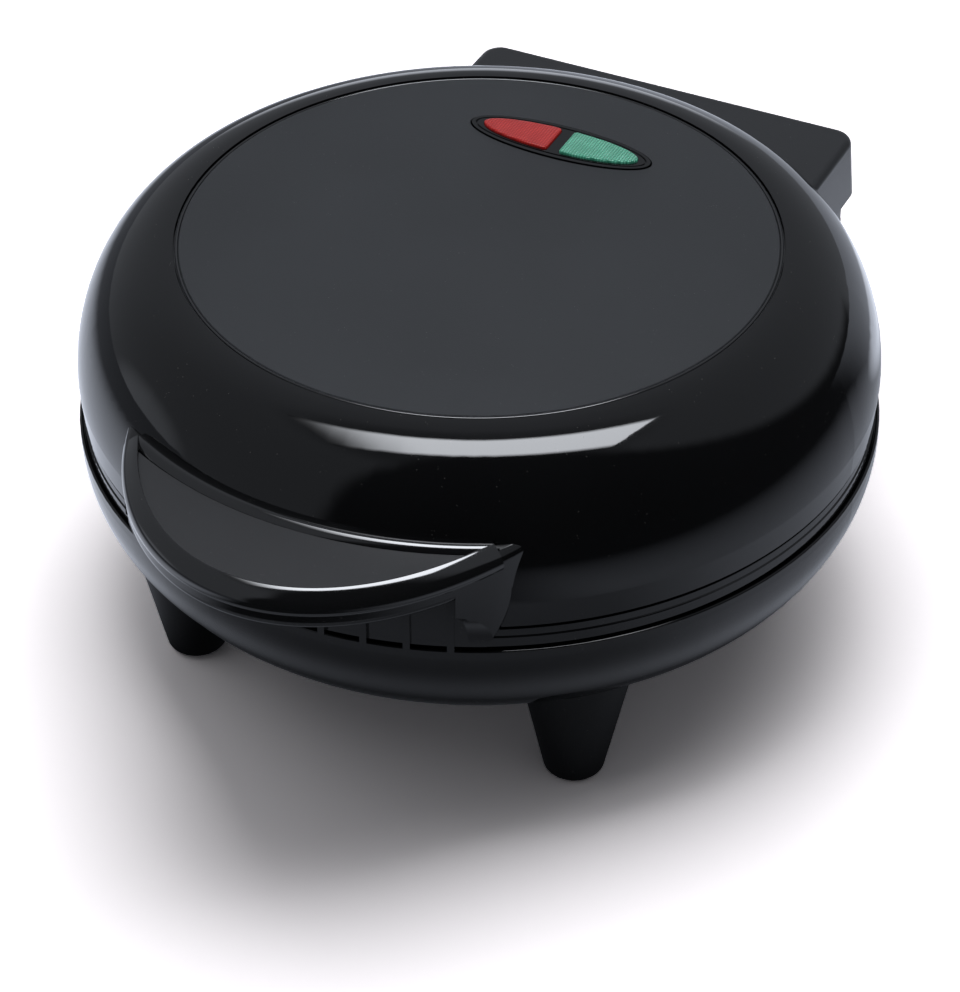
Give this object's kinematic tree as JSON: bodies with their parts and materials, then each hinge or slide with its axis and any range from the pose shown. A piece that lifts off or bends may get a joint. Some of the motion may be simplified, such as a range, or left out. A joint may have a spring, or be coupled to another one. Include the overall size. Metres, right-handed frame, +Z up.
{
  "type": "countertop pancake maker",
  "caption": "Round countertop pancake maker with a domed hinged lid, crescent lift handle, indicator window, round wells in both plates and tapered legs.",
  "frame": {"origin": "middle of the footprint, on the table under the leg pads", "axes": "+Z up, +Y towards the hinge, +X to the right when seen from the handle"},
  "size_m": [0.216, 0.2635, 0.1159],
  "materials": {
    "gloss_black": "high-gloss moulded black plastic",
    "satin_graphite": "fine satin moulded dark grey plastic",
    "leg_black": "matte moulded black plastic",
    "nonstick_cast": "cast aluminium under a dark satin non-stick coat",
    "heater_steel": "dull stainless tube with upturned ends",
    "sheet_steel": "plain pressed sheet steel",
    "zinc_steel": "zinc-plated screws",
    "pin_steel": "ground steel rod",
    "soft_rubber": "soft black rubber",
    "white_ceramic": "unglazed white ceramic",
    "red_lens_plastic": "clear red plastic with fine facets below",
    "green_lens_plastic": "clear green plastic with fine facets below",
    "lamp_glass": "clear glass bulb",
    "holder_white": "natural heat-proof plastic"
  },
  "bodies": {
    "base": {"lower_housing": "gloss_black", "housing_screws": "zinc_steel", "front_left_leg": "leg_black", "front_right_leg": "leg_black", "rear_left_leg": "leg_black", "rear_right_leg": "leg_black", "leg_screws": "zinc_steel", "leg_pads": "soft_rubber", "hinge_tower": "satin_graphite", "tower_screws": "zinc_steel", "hinge_pin": "pin_steel", "cord_gland": "soft_rubber", "terminal_block": "white_ceramic", "lower_trim_ring": "gloss_black", "lower_cooking_plate": "nonstick_cast", "lower_heating_element": "heater_steel", "lower_element_clamps": "sheet_steel", "lower_clamp_screws": "zinc_steel", "lower_heat_shield": "sheet_steel", "thermal_fuse": "sheet_steel", "fuse_clip": "sheet_steel", "fuse_clip_screw": "zinc_steel"},
    "lid": {"upper_cover": "gloss_black", "cover_screws": "zinc_steel", "upper_trim_ring": "gloss_black", "lid_handle": "satin_graphite", "handle_screws": "zinc_steel", "top_panel": "satin_graphite", "indicator_bezel": "gloss_black", "red_lens": "red_lens_plastic", "green_lens": "green_lens_plastic", "red_lamp": "lamp_glass", "green_lamp": "lamp_glass", "lamp_holder": "holder_white", "lamp_holder_screws": "zinc_steel", "hinge_hood": "satin_graphite", "hood_screws": "zinc_steel", "upper_cooking_plate": "nonstick_cast", "upper_heating_element": "heater_steel", "upper_element_clamps": "sheet_steel", "upper_clamp_screws": "zinc_steel", "upper_heat_shield": "sheet_steel", "thermostat": "white_ceramic", "thermostat_screws": "zinc_steel"}
  },
  "joints": [
    {"name": "lid_hinge", "type": "hinge", "parent": "base", "child": "lid", "pos_m": [0, 0.12475, 0.073], "axis": [-1, 0, 0], "range_deg": [0, 100]}
  ]
}
